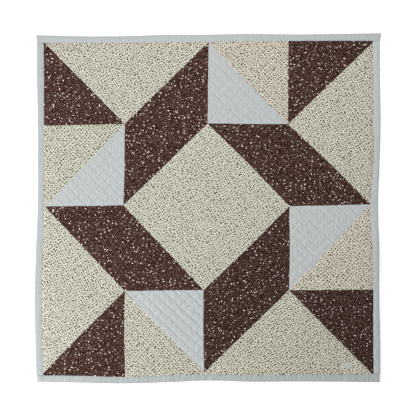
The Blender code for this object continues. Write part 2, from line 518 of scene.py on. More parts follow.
@dataclass(frozen=True)
class SewingThread(Finish):
    """Matt polyester thread, a little uneven in colour."""

    colour: Colour
    uneven: float = 0.12
    waves: float = 160.0

    def fill(self, loom: Loom, shader: bpy.types.Node) -> None:
        """A slightly uneven colour along the rows."""
        place = loom.strands(loom.node("ShaderNodeTexCoord"), "Object")[0]
        base = loom.blend(0.0, self.colour, self.colour)
        colour = loom.tone(base, loom.noise(place, self.waves, 1.0) * self.uneven)
        loom.tree.links.new(colour.socket, shader.inputs["Base Color"])


@dataclass(frozen=True)
class FloorPaint(Finish):
    """The plain pale floor, lit through a little from below as a light table is."""

    colour: Colour
    glow: float

    def fill(self, loom: Loom, shader: bpy.types.Node) -> None:
        """One flat colour and its glow."""
        shader.inputs["Base Color"].default_value = (*self.colour, 1.0)
        shader.inputs["Emission Color"].default_value = (1.0, 1.0, 1.0, 1.0)
        shader.inputs["Emission Strength"].default_value = self.glow


class Fabric(Enum):
    """The blanket's cloths."""

    CREAM = "cream_sprig_cotton"
    BROWN = "brown_fleck_cotton"
    BLUE = "pale_blue_cotton"


PALE_SPECKS = Scatter(
    linear(245, 244, 235), spacing=6.5 * MM, size=1.6 * MM, lobes=2, notch=0.3, share=1.0, faint=0.55
)
OLIVE_DOTS = Scatter(
    linear(52, 46, 0), spacing=7.6 * MM, size=2.74 * MM, lobes=3, notch=0.1, share=1.0, faint=0.7,
    loose=0.45, vary=0.38, rim=linear(220, 218, 203), rim_wide=1.2 * MM,
)
DARK_FLECKS = Scatter(
    linear(7, 1, 0), spacing=3.8 * MM, size=2.0 * MM, lobes=2, notch=0.3, share=0.9, faint=0.5
)
DUSTY_FLECKS = Scatter(
    linear(154, 122, 114), spacing=3.65 * MM, size=1.35 * MM, lobes=2, notch=0.4, share=0.85, faint=0.1
)
BRIGHT_FLECKS = Scatter(
    linear(255, 231, 221), spacing=8.7 * MM, size=2.15 * MM, lobes=2, notch=0.3, share=0.52, faint=0.05,
    loose=0.95, soft=0.15 * MM, vary=0.6, rim=linear(8, 2, 1), rim_wide=1.9 * MM,
)
CREAM_PRINT = (PALE_SPECKS, OLIVE_DOTS)
BROWN_PRINT = (DARK_FLECKS, DUSTY_FLECKS, BRIGHT_FLECKS)
FINISHES: dict[Fabric, Cotton] = {
    Fabric.CREAM: PrintedCotton(
        Fabric.CREAM.value, 0.9, linear(176, 174, 157), mottle=0.06, scatters=CREAM_PRINT
    ),
    Fabric.BROWN: PrintedCotton(
        Fabric.BROWN.value, 0.88, linear(57, 35, 27), mottle=0.3, scatters=BROWN_PRINT
    ),
    Fabric.BLUE: Cotton(Fabric.BLUE.value, 0.9, linear(181, 185, 185)),
}
BINDING_COTTON = Cotton("binding_cotton", 0.9, linear(170, 175, 175), slub=0.05, cloud=0.04)
TAG_RIBBON = Cotton(
    "tag_ribbon_weave", 0.7, linear(184, 184, 180), yarn=0.4 * MM, slub=0.02, crease_high=0.15 * MM
)
QUILTING_THREAD = SewingThread("quilting_thread", 0.65, linear(130, 122, 112))
EDGE_THREAD = SewingThread("edge_thread", 0.65, linear(152, 168, 172))
FLOOR_PAINT = FloorPaint("white_floor", 0.9, (0.95, 0.95, 0.95), 0.25)


# Pieces in general


def link_piece(name: str, mesh: bpy.types.Mesh, finish: Finish | None = None) -> bpy.types.Object:
    """Adds a mesh to the scene as one piece, at the origin."""
    piece = bpy.data.objects.new(name, mesh)
    bpy.context.scene.collection.objects.link(piece)
    if finish is not None:
        mesh.materials.clear()
        mesh.materials.append(finish.material())
    return piece


def settle(piece: bpy.types.Object, slot: str | None, *stands_for: str) -> bpy.types.Object:
    """Rides a finished piece on the blanket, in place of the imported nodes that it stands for."""
    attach(piece, BODY)
    if stands_for:
        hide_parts(*stands_for)
    log.info("%s: %d faces", piece.name, len(piece.data.polygons))
    return piece


def set_values(mesh: bpy.types.Mesh, name: str, kind: str, values: Array) -> None:
    """Stores an attribute on a mesh's points."""
    key = "vector" if kind == "FLOAT_VECTOR" else "value"
    mesh.attributes.new(name, kind, "POINT").data.foreach_set(key, np.asarray(values, np.float32).ravel())


def points_of(mesh: bpy.types.Mesh) -> Array:
    """A mesh's points, one row each."""
    flat = np.zeros(len(mesh.vertices) * 3)
    mesh.vertices.foreach_get("co", flat)
    return flat.reshape(-1, 3)


def set_cloth_uv(mesh: bpy.types.Mesh, places: Array) -> None:
    """Writes the cloth's own flat coordinates, in metres, as its UV map.

    Args:
        mesh: The cloth's mesh.
        places: Two numbers for each of its points.
    """
    corners = np.zeros(len(mesh.loops), np.int32)
    mesh.loops.foreach_get("vertex_index", corners)
    layer = mesh.uv_layers.new(name=CLOTH_UV)
    layer.data.foreach_set("uv", places[corners].astype(np.float32).ravel())


def mesh_from(name: str, made: bmesh.types.BMesh) -> bpy.types.Mesh:
    """A smooth mesh from a bmesh, which is freed."""
    mesh = bpy.data.meshes.new(name)
    made.to_mesh(mesh)
    made.free()
    mesh.shade_smooth()
    return mesh


def area_of(corners: Array) -> float:
    """A flat shape's area, negative where its corners run clockwise."""
    ahead = np.roll(corners, -1, axis=0)
    return (corners[:, 0] * ahead[:, 1] - ahead[:, 0] * corners[:, 1]).sum() / 2


def grid_quads(size: tuple[int, int]) -> Array:
    """The corners of each face of a grid of so many rows and columns of points."""
    index = np.arange(size[0] * size[1]).reshape(size)
    return np.stack((index[:-1, :-1], index[1:, :-1], index[1:, 1:], index[:-1, 1:]), axis=-1)


def grid_mesh(name: str, points: Array) -> bpy.types.Mesh:
    """A smooth sheet of quads over a grid of points.

    Args:
        name: The mesh's name.
        points: Rows by columns by three numbers. Rows cross columns to face outwards.

    Returns:
        The mesh, its points in the grid's order.
    """
    quads = grid_quads(points.shape[:2]).reshape(-1, 4)
    mesh = bpy.data.meshes.new(name)
    mesh.from_pydata(points.reshape(-1, 3).tolist(), [], quads.tolist())
    mesh.shade_smooth()
    return mesh


class Sweep:
    """Puts a modifier with a node tree on a piece, keeps the mesh it gives and takes it off again."""

    def __init__(self, name: str) -> None:
        """Starts an empty tree with geometry in and out."""
        self.tree = bpy.data.node_groups.new(name, "GeometryNodeTree")
        self.add_input("Geometry", "NodeSocketGeometry")
        self.tree.interface.new_socket(name="Geometry", in_out="OUTPUT", socket_type="NodeSocketGeometry")
        self.loom = Loom(self.tree)
        self.inputs = self.loom.node("NodeGroupInput")

    def add_input(self, name: str, kind: str = "NodeSocketFloat") -> None:
        """Adds one named input to the tree."""
        self.tree.interface.new_socket(name=name, in_out="INPUT", socket_type=kind)

    def take(self, name: str) -> Strand:
        """One of the tree's inputs, for use in it."""
        return Strand(self.loom, self.inputs.outputs[name])

    def close(self, geometry: Strand) -> None:
        """Sends the finished geometry out of the tree."""
        self.loom.node("NodeGroupOutput", None, {"Geometry": geometry})

    def run(self, piece: bpy.types.Object, values: dict[str, object]) -> None:
        """Gives the piece the mesh that the tree makes of it.

        Args:
            piece: An object whose mesh goes in.
            values: What each named input is set to.
        """
        modifier = piece.modifiers.new(self.tree.name, "NODES")
        modifier.node_group = self.tree
        for item in self.tree.interface.items_tree:
            if item.in_out == "INPUT" and item.name in values:
                modifier[item.identifier] = values[item.name]
        graph = bpy.context.evaluated_depsgraph_get()
        made = bpy.data.meshes.new_from_object(
            piece.evaluated_get(graph), preserve_all_data_layers=True, depsgraph=graph
        )
        piece.modifiers.remove(modifier)
        flat = piece.data
        piece.data = made
        bpy.data.meshes.remove(flat)
        made.name = piece.name


def inputs_of(sizes: object) -> dict[str, float]:
    """A dataclass's sizes as a tree's inputs, so stitch_height is for the input Stitch height."""
    return {item.name.replace("_", " ").capitalize(): getattr(sizes, item.name) for item in fields(sizes)}


# Quilting


@dataclass(frozen=True)
class Lattice:
    """The diamond lattice of the quilting rows, on the true rectangle."""

    wide: float = 31.7 * MM
    high: float = 30.8 * MM
    crossing: Place = (0.4 * MM, 7.3 * MM)
    cut_reach: float = 0.02 * MM
    fine: tuple[float, ...] = (0.0, 0.045, 0.14, 0.30, 0.5, 0.70, 0.86, 0.955)
    coarse: tuple[float, ...] = (0.0, 0.12, 0.5, 0.88)

    @property
    def pitch(self) -> float:
        """The distance between two rows."""
        return self.wide * self.high / math.hypot(self.wide, self.high)

    def rows_at(self, x: Array, y: Array) -> tuple[Array, Array]:
        """How many rows of each slant a place is from the crossing."""
        across = (x - self.crossing[0]) / self.wide
        up = (y - self.crossing[1]) / self.high
        return up + across, up - across

    def place_at(self, rising: Array, falling: Array) -> tuple[Array, Array]:
        """The place at so many rows of each slant from the crossing."""
        x = self.crossing[0] + (rising - falling) * self.wide / 2
        y = self.crossing[1] + (rising + falling) * self.high / 2
        return x, y

    def cover(self, corners: Array, steps: tuple[float, ...]) -> bmesh.types.BMesh:
        """A flat mesh along the lattice, cut to a convex shape.

        Args:
            corners: The shape's corners, anticlockwise.
            steps: Where each diamond is divided, as shares of its side.

        Returns:
            The flat mesh.
        """
        marks = []
        for rows in self.rows_at(corners[:, 0], corners[:, 1]):
            cells = range(math.floor(rows.min()), math.ceil(rows.max()))
            marks.append(np.array([cell + step for cell in cells for step in steps] + [cells.stop]))
        rising, falling = np.meshgrid(*marks, indexing="ij")
        x, y = self.place_at(rising, falling)
        near = np.ones(x.shape, bool)
        margin = self.wide * max(np.diff((*steps, 1.0)))
        for start, side in sides_of(corners):
            near &= (x - start[0]) * -side[1] + (y - start[1]) * side[0] > -margin
        kept = near[:-1, :-1] | near[1:, :-1] | near[1:, 1:] | near[:-1, 1:]
        used, quads = np.unique(grid_quads(x.shape)[kept], return_inverse=True)
        flat = np.stack((x.ravel()[used], y.ravel()[used], np.zeros(len(used))), axis=-1)
        mesh = bpy.data.meshes.new("cover")
        mesh.from_pydata(flat.tolist(), [], quads.reshape(-1, 4).tolist())
        made = bmesh.new()
        made.from_mesh(mesh)
        bpy.data.meshes.remove(mesh)
        for start, side in sides_of(corners):
            cut_along(made, start, side, 0.0, clear=True)
        return made


def sides_of(corners: Array) -> list[tuple[Array, Array]]:
    """Each side of a shape as its start and its direction."""
    sides = []
    for start, end in zip(corners, np.roll(corners, -1, axis=0)):
        sides.append((start, (end - start) / np.linalg.norm(end - start)))
    return sides


def cut_along(mesh: bmesh.types.BMesh, start: Array, side: Array, inside: float, clear: bool) -> None:
    """Cuts a flat mesh along a line, and clears what lies right of it if asked to.

    Args:
        mesh: The flat mesh.
        start: A point of the side.
        side: The side's direction, with the kept cloth on its left.
        inside: How far to the left of the side the line lies.
        clear: Whether the cloth to the right of the line goes.
    """
    outward = Vector((side[1], -side[0], 0.0))
    point = Vector((start[0], start[1], 0.0)) - outward * inside
    geometry = mesh.verts[:] + mesh.edges[:] + mesh.faces[:]
    bmesh.ops.bisect_plane(
        mesh, geom=geometry, dist=LATTICE.cut_reach, plane_co=point, plane_no=outward, clear_outer=clear
    )


LATTICE = Lattice()


@dataclass(frozen=True)
class Relief:
    """How high the quilted cloth stands, in metres, from its stitch rows to its crowns."""

    stitch_height: float
    crown_height: float
    edge_height: float
    seam_depth: float = 0.0
    pucker_height: float = 0.0
    crinkle_height: float = 0.0


TOP_RELIEF = Relief(4.7 * MM, 5.35 * MM, 3.0 * MM, 0.4 * MM, 0.3 * MM, 0.4 * MM)
BACK_RELIEF = Relief(1.5 * MM, 0.0, 0.95 * MM, pucker_height=0.1 * MM)
ROW_RELIEF = Relief(4.8 * MM, 5.45 * MM, 3.1 * MM, 0.3 * MM, 0.3 * MM, 0.4 * MM)


@dataclass(frozen=True)
class Padding:
    """How the filling swells between the rows, and how the cloth creases over it.

    What is soft, near, far or wide says how far a change reaches from its row, seam, edge or middle.
    Round one place near the foot the cloth is bunched: it swells higher by a share, and its swells run
    together into ridges. Crinkles and strays are counted in a metre. The noise of the puckers reads
    each row so far apart from the next, and has a gain that brings it to full height.
    """

    soft: float = 4.2 * MM
    fill_least: float = 0.86
    fill_more: float = 0.2
    bunched: Place = (-0.085, -0.305)
    bunched_near: float = 0.05
    bunched_far: float = 0.16
    bunched_swell: float = 1.4
    bunched_ridge: float = 0.55
    pressed: float = 0.3
    seam_soft: float = 2.5 * MM
    seam_press: float = 0.15
    seam_wide: float = 0.8 * MM
    edge_soft: float = 3.0 * MM
    pucker_long: float = 7.0 * MM
    pucker_wide: float = 3.5 * MM
    pucker_gain: float = 1.6
    row_apart: float = 7.3
    crinkle_fine: float = 95.0
    crinkle_low: float = 0.2
    stray: float = 0.9 * MM
    stray_fine: float = 30.0

    @property
    def full(self) -> float:
        """What brings the swell halfway between two rows to its full height."""
        return 1 / (1 - math.exp(-LATTICE.pitch / 2 / self.soft))


PADDING = Padding()


class TagWave(NamedTuple):
    """A low wave in the tag: its turns across and up, and its height in mm."""

    across: float
    up: float
    high: float


@dataclass(frozen=True)
class Tag:
    """The small bare tag, sewn flat near the foot corner at the right.

    It droops at its sewn edges, the more suddenly the higher its powers are, and it presses the
    padding down for some way round it. It turns paler from some way out to its rim.
    """

    wide: float = 33.5 * MM
    high: float = 15.0 * MM
    thick: float = 0.5 * MM
    centre: Place = (402.0 * MM, -458.6 * MM)
    under: float = 4.15 * MM
    droop: float = 0.45 * MM
    droop_powers: tuple[int, int] = (7, 4)
    rim_power: int = 24
    waves: tuple[TagWave, ...] = (TagWave(7.0, 1.3, 0.09), TagWave(-3.0, 4.0, 0.05))
    hem: float = 1.6 * MM
    pale_hem: float = 0.16
    pale_from: float = 0.6875
    press: float = 12.0 * MM
    columns: int = 46
    rows: int = 22
    row_points: int = 24

    def height(self, across: Array, up: Array) -> Array:
        """The tag's underside, from its middle to its sewn edges.

        Args:
            across: Places over its width, from -1 to 1.
            up: Places over its height, from -1 to 1.

        Returns:
            Heights in metres.
        """
        edge = np.maximum(np.abs(across) ** self.droop_powers[0], np.abs(up) ** self.droop_powers[1])
        waved = sum(np.sin(across * wave.across + up * wave.up) * wave.high * MM for wave in self.waves)
        return self.under - self.droop * edge + waved

    def laid(self, across: Array | float, up: Array | float) -> tuple[Array, Array]:
        """Places on the tag, each from -1 to 1, as places in the laid blanket."""
        return OUTLINE.laid(self.centre[0] + across * self.wide / 2, self.centre[1] + up * self.high / 2)

    def build(self) -> None:
        """The ribbon as a thin closed piece."""
        across = np.sin(np.linspace(-1, 1, self.columns) * math.pi / 2)
        up = np.sin(np.linspace(-1, 1, self.rows) * math.pi / 2)
        wide, high = np.meshgrid(across, up, indexing="ij")
        rim = np.maximum(np.abs(wide), np.abs(high)) ** self.rim_power
        half = self.thick / 2 * np.sqrt(np.clip(1 - rim, 0, 1))
        middle = self.height(wide, high) + self.thick / 2
        made = bmesh.new()
        for face, level in (("ribbon_top", middle + half), ("ribbon_under", middle - half)):
            side = grid_mesh(face, np.stack((*self.laid(wide, high), level), axis=-1))
            if face == "ribbon_under":
                side.flip_normals()
            made.from_mesh(side)
            bpy.data.meshes.remove(side)
        bmesh.ops.remove_doubles(made, verts=made.verts[:], dist=0.001 * MM)
        mesh = mesh_from("label_ribbon", made)
        places = points_of(mesh)[:, :2]
        set_cloth_uv(mesh, places)
        reach = np.abs(places - np.array(self.laid(0.0, 0.0))) * 2 / np.array([self.wide, self.high])
        set_values(mesh, TONE_AND_PAINTED_LIGHT, "FLOAT", ramp(reach.max(axis=1), self.pale_from, 1.0) * self.pale_hem)
        piece = settle(link_piece("label_ribbon", mesh, TAG_RIBBON), "tag_ribbon", "label")

    def rows_of_stitches(self) -> list[Array]:
        """The four rows that hold the tag, as points on the laid blanket."""
        inset_x, inset_y = 1 - 2 * self.hem / self.wide, 1 - 2 * self.hem / self.high
        way = np.linspace(-1, 1, self.row_points)
        rows = []
        for sign in (-1, 1):
            rows.append((way * inset_x, np.full_like(way, sign * inset_y)))
            rows.append((np.full_like(way, sign * inset_x), way * inset_y))
        return [
            np.stack((*self.laid(across, up), self.height(across, up) + self.thick), axis=-1)
            for across, up in rows
        ]


TAG = Tag()


def make_relief() -> Sweep:
    """The tree that raises flat cloth into quilted diamonds.

    Each point's cut attribute holds its place on the true rectangle and how far it is from a seam.

    Returns:
        The tree, with its sizes as named inputs.
    """
    sweep = Sweep("quilt_relief")
    for name in inputs_of(TOP_RELIEF):
        sweep.add_input(name)
    loom = sweep.loom
    pad = PADDING
    cut = loom.strand("GeometryNodeInputNamedAttribute", {"data_type": "FLOAT_VECTOR"}, {"Name": CUT})
    x, y, seam = loom.split(cut)
    across = (x - LATTICE.crossing[0]) / LATTICE.wide
    up = (y - LATTICE.crossing[1]) / LATTICE.high
    slants = (up + across, up - across)
    distances = [(0.5 - abs(slant.maths("FRACT") - 0.5)) * LATTICE.pitch for slant in slants]
    swells = [(1.0 - distance.fades(pad.soft)) * pad.full for distance in distances]
    cell = loom.join(*(slant.maths("FLOOR") for slant in slants))
    uneven = loom.node("ShaderNodeTexWhiteNoise", {"noise_dimensions": "2D"}, {"Vector": cell})
    fill = loom.strands(uneven, "Value")[0] * pad.fill_more + pad.fill_least
    bunched = loom.length(loom.join(x - pad.bunched[0], y - pad.bunched[1]))
    bunched = bunched.smooth(pad.bunched_far, pad.bunched_near)
    off_tag = abs(x - TAG.centre[0]) - TAG.wide / 2
    off_tag = off_tag.maths("MAXIMUM", abs(y - TAG.centre[1]) - TAG.high / 2)
    press = off_tag.smooth(0.0, TAG.press) * (1.0 - pad.pressed) + pad.pressed
    ridge = swells[0] * (1.0 - (1.0 - swells[1]) * (1.0 - bunched * pad.bunched_ridge))
    puff = ridge * fill * (1.0 - seam.fades(pad.seam_soft) * pad.seam_press)
    puff = puff * (bunched * pad.bunched_swell + 1.0)
    stitch, crown, edge_high = (sweep.take(f"{name} height") for name in ("Stitch", "Crown", "Edge"))
    inner = (OUTLINE.panel_x - abs(x)).maths("MINIMUM", OUTLINE.panel_y - abs(y)).maths("MAXIMUM", 0.0)
    edge = (1.0 - inner.fades(pad.edge_soft)) * press
    waves = []
    for this, other, distance in zip(slants, slants[::-1], distances):
        row = (this + 0.5).maths("FLOOR") * pad.row_apart
        along = other * (LATTICE.pitch / pad.pucker_long)
        waves.append(loom.noise(loom.join(row, along), 1.0) * distance.fades(pad.pucker_wide))
    puckers = (waves[0] + waves[1]) * sweep.take("Pucker height") * pad.pucker_gain
    flat = loom.join(x, y)
    crinkle = loom.noise(flat, pad.crinkle_fine, 2.0) * sweep.take("Crinkle height")
    high = stitch + (crown - stitch) * puff + puckers
    high = high + crinkle * (puff * (1.0 - pad.crinkle_low) + pad.crinkle_low)
    seam_valley = seam.fades(pad.seam_wide) * edge * sweep.take("Seam depth")
    high = (edge_high + (high - edge_high) * edge - seam_valley).maths("MAXIMUM", 0.0)
    strays = loom.strays(flat, (3.0, 7.0), pad.stray_fine, 1.0)
    offset = loom.join(*(stray * pad.stray for stray in strays), high)
    values = {"Geometry": sweep.take("Geometry"), "Offset": offset}
    sweep.close(loom.strand("GeometryNodeSetPosition", None, values))
    return sweep


RELIEF = make_relief()


def raise_cloth(piece: bpy.types.Object, relief: Relief) -> None:
    """Raises a piece of laid cloth into diamonds, which uses up its cut attribute."""
    RELIEF.run(piece, inputs_of(relief))
    piece.data.attributes.remove(piece.data.attributes[CUT])


def lay_flat(mesh: bpy.types.Mesh, seams: Array | None = None) -> Array:
    """Moves flat cloth from the true rectangle to the laid outline and stores its cut attribute.

    Args:
        mesh: The flat mesh on the true rectangle.
        seams: Each point's distance to the nearest seam, or None where there is none.

    Returns:
        The places on the true rectangle, two numbers for each point.
    """
    true = points_of(mesh)
    away = np.full(len(true), 1.0) if seams is None else seams
    set_values(mesh, CUT, "FLOAT_VECTOR", np.column_stack((true[:, :2], away)))
    east, north = OUTLINE.laid(true[:, 0], true[:, 1])
    mesh.vertices.foreach_set("co", np.column_stack((east, north, true[:, 2])).astype(np.float32).ravel())
    return true[:, :2]


# Patchwork


class Drift(NamedTuple):
    """A seam corner's column and row in the even 4 by 4 grid, and how far it strays from there, in mm."""

    column: int
    row: int
    east: float
    north: float


DRIFTS = tuple(
    Drift(*numbers)
    for numbers in (
        (0, 0, 1.7, 1.6), (2, 0, 0.9, -0.8), (3, 0, -6.3, -1.0), (4, 0, 2.8, -2.8),
        (0, 1, 1.0, 1.1), (1, 1, -4.7, 7.1), (2, 1, -3.6, 4.3), (3, 1, -9.5, 1.0),
        (0, 2, 2.9, 8.0), (1, 2, -6.0, 13.3), (3, 2, 2.5, 5.3), (4, 2, 0.9, 9.1),
        (1, 3, 0.6, 7.1), (2, 3, -11.3, 3.7), (3, 3, -4.0, 4.2), (4, 3, -0.5, 4.0),
        (0, 4, -3.3, 3.2), (1, 4, -2.9, 1.5), (2, 4, -12.4, 6.3), (4, 4, -1.6, -1.6),
    )
)


class Shape(NamedTuple):
    """One shape of the block by its grid corners, and its tint and blush on the head, right, foot and left.

    Row -1 is the edge of the cloth under the head binding, level with the tip at row 0. The tints are partly
    each cloth's own tone and partly painted light and shade that makes up for the lamps.
    """

    name: str
    fabric: Fabric
    corners: tuple[tuple[int, int], ...]
    tints: tuple[float, float, float, float]
    blushes: tuple[float, float, float, float] = (0.0, 0.0, 0.0, 0.0)


# Each shape's tints are partly painted light and shade, partly its cloth's own tone.
SHAPES = (
    Shape(
        "cream_edge",
        Fabric.CREAM,
        ((0, 0), (2, -1), (2, 0), (1, 1)),
        (-0.005, 0.02, 0.025, 0.005),
        (0.01, 0.025, 0.01, 0.0),
    ),
    Shape(
        "cream_small",
        Fabric.CREAM,
        ((2, 0), (2, -1), (3, 0), (3, 1)),
        (-0.03, 0.06, 0.005, -0.005),
        (0.06, 0.04, 0.0, 0.0),
    ),
    Shape("brown_long", Fabric.BROWN, ((1, 1), (2, 0), (2, 1), (1, 2)), (0.04, -0.03, -0.09, 0.04)),
    Shape("brown_corner", Fabric.BROWN, ((0, 0), (1, 1), (0, 1)), (0.11, -0.01, -0.11, 0.04)),
    Shape(
        "blue",
        Fabric.BLUE,
        ((2, 0), (3, 1), (2, 1)),
        (-0.055, 0.01, 0.003, -0.05),
        (0.0, 0.008, -0.018, -0.006),
    ),
)
QUARTERS = ("head", "right", "foot", "left")
CENTRE_CORNERS = ((2, 1), (3, 2), (2, 3), (1, 2))
# The centre's tint, partly painted light, and its blush.
CENTRE_SHADE = (0.02, 0.0)


@dataclass(frozen=True)
class Patchwork:
    """The pieced top: five shapes turned four times round a square, as in a whirling star."""

    grid: int = 4
    tuck: float = 8.0 * MM
    seam_lines: tuple[float, ...] = (0.8 * MM, 2.4 * MM)
    first_turn: float = 0.5
    shape_turn: float = 0.3
    print_shift: float = 3.1

    def place(self, column: int, row: int) -> Place:
        """A grid corner's place on the true rectangle, taken under the binding at the edges."""
        drift = next((item for item in DRIFTS if item[:2] == (column, row)), Drift(column, row, 0.0, 0.0))
        level = min(max(column, 0), self.grid), min(max(row, 0), self.grid)
        if level != (column, row):
            return self.edge_by(column, row, self.place(*level))
        x = OUTLINE.panel_x * (2 * column / self.grid - 1) + drift.east * MM
        y = OUTLINE.panel_y * (1 - 2 * row / self.grid) + drift.north * MM
        if self.grid / 2 in (column, row):
            return x, y
        x, y = self.edge_by(column, row, (x, y))
        corner = column % self.grid == 0 and row % self.grid == 0
        return (x + drift.east * MM, y + drift.north * MM) if corner else (x, y)

    def edge_by(self, column: int, row: int, place: Place) -> Place:
        """A place moved out to the cloth's edge on each side that its column or row is at."""
        x, y = place
        reach_x, reach_y = OUTLINE.panel_x + self.tuck, OUTLINE.panel_y + self.tuck
        x = -reach_x if column <= 0 else reach_x if column >= self.grid else x
        y = reach_y if row <= 0 else -reach_y if row >= self.grid else y
        return x, y

    def outline_of(self, corners: Sequence[tuple[int, int]], quarter: int) -> Array:
        """A shape's corners after some quarter turns, anticlockwise."""
        turned = list(corners)
        for _ in range(quarter):
            turned = [(self.grid - row, column) for column, row in turned]
        places = np.array([self.place(column, row) for column, row in turned])
        return places if area_of(places) > 0 else places[::-1]

    def seams_of(self, corners: Array) -> list[tuple[Array, Array]]:
        """The sides of a patch that are sewn to another patch, and not under the binding."""
        kept = []
        for start, end in zip(corners, np.roll(corners, -1, axis=0)):
            both = np.minimum(np.abs(start), np.abs(end))
            if both[0] <= OUTLINE.panel_x and both[1] <= OUTLINE.panel_y:
                kept.append((start, end))
        return kept

    def build_patch(self, name: str, fabric: Fabric, corners: Array, shade: Place, turn: float) -> None:
        """Cuts, raises and dresses one patch.

        Args:
            name: The piece's name.
            fabric: Its cloth.
            corners: Its corners on the true rectangle, anticlockwise.
            shade: How much lighter and how much redder it is coloured than the rest, as shares; the lighter
                share is partly painted light and shade.
            turn: The angle that its print lies at.
        """
        made = LATTICE.cover(corners, LATTICE.fine)
        seams = self.seams_of(corners)
        for start, end in seams:
            side = (end - start) / np.linalg.norm(end - start)
            for inside in self.seam_lines:
                cut_along(made, start, side, inside, clear=False)
        mesh = mesh_from(name, made)
        flat = points_of(mesh)[:, :2]
        away = np.min([distance_to(flat, start, end) for start, end in seams], axis=0)
        true = lay_flat(mesh, away)
        spin = np.array([[math.cos(turn), -math.sin(turn)], [math.sin(turn), math.cos(turn)]])
        set_cloth_uv(mesh, true @ spin + turn * self.print_shift)
        # The tint, partly painted light and shade, and the blush go on every point.
        for key, share in zip((TONE_AND_PAINTED_LIGHT, BLUSH), shade):
            set_values(mesh, key, "FLOAT", np.full(len(flat), share))
        piece = link_piece(name, mesh, FINISHES[fabric])
        raise_cloth(piece, TOP_RELIEF)
        settle(piece, "pieced_cotton", "quilt_body")
        area = area_of(corners)

    def build(self) -> None:
        """Builds the 21 patches."""
        for number, shape in enumerate(SHAPES):
            for quarter, side in enumerate(QUARTERS):
                corners = self.outline_of(shape.corners, quarter)
                turn = quarter * math.pi / 2 + number * self.shape_turn + self.first_turn
                shade = shape.tints[quarter], shape.blushes[quarter]
                self.build_patch(f"{shape.name}_{side}", shape.fabric, corners, shade, turn)
        middle = self.outline_of(CENTRE_CORNERS, 0)
        self.build_patch("cream_centre", Fabric.CREAM, middle, CENTRE_SHADE, self.first_turn)


def distance_to(points: Array, start: Array, end: Array) -> Array:
    """How far points lie from a straight seam."""
    side = end - start
    along = np.clip(((points - start) @ side) / (side @ side), 0, 1)
    return np.linalg.norm(points - start - along[:, None] * side, axis=1)


@dataclass(frozen=True)
class Backing:
    """The plain cloth under the filling, drawn up at each stitch row."""

    tuck: float = 9.0 * MM

    def build(self) -> None:
        """The backing, facing down."""
        reach_x, reach_y = OUTLINE.panel_x + self.tuck, OUTLINE.panel_y + self.tuck
        corners = np.array([(-1, -1), (1, -1), (1, 1), (-1, 1)]) * (reach_x, reach_y)
        mesh = mesh_from("quilt_back", LATTICE.cover(corners, LATTICE.coarse))
        set_cloth_uv(mesh, lay_flat(mesh))
        set_values(mesh, TONE_AND_PAINTED_LIGHT, "FLOAT", np.zeros(len(mesh.vertices)))
        piece = link_piece("quilt_back", mesh, FINISHES[Fabric.BLUE])
        raise_cloth(piece, BACK_RELIEF)
        piece.data.flip_normals()
        settle(piece, "plain_blue_grey_cotton", "quilt_body")
        2 * reach_x
        2 * reach_y


# Binding


class Crease(NamedTuple):
    """One line along the folded binding, in mm: out from the panel's edge, and its height."""

    out: float
    high: float


FOLDED = tuple(
    Crease(*numbers)
    for numbers in (
        (7.0, 3.3), (0.3, 3.25), (-0.1, 3.4), (-0.1, 3.7), (0.4, 4.0), (1.3, 4.2), (2.2, 4.1),
        (3.0, 3.85), (3.8, 4.1), (5.5, 4.35), (8.5, 4.45), (11.5, 4.4), (14.0, 4.35), (16.5, 4.2),
        (18.3, 3.9), (19.3, 3.3), (19.85, 2.4), (20.0, 1.5), (19.8, 0.6), (19.0, 0.15), (17.5, 0.0),
        (10.0, 0.0), (4.0, 0.0), (1.0, 0.0), (0.2, 0.15), (0.0, 0.4), (0.4, 0.65), (7.0, 0.7),
    )
)
FOLD_WIDE = 20.0 * MM
STITCH_CREASE = 7
# Random heights in a kind of wave, with the strip's middle a third of the way through them
WAVE_COUNT = 1200


class Edge(Enum):
    """The blanket's sides, each with its outward direction and its piece's seed."""

    LEFT = (-1, 0, 11)
    RIGHT = (1, 0, 23)
    FOOT = (0, -1, 37)
    HEAD = (0, 1, 53)

    @property
    def label(self) -> str:
        """The side's name in lower case."""
        return self.name.lower()

    @property
    def full_width(self) -> bool:
        """Whether the strip runs from corner to corner over the other two."""
        return self.value[1] != 0


class Wave(NamedTuple):
    """Uneven waves along a strip: which ones, the distance between two random heights, and their height."""

    seed: int
    length: float
    high: float


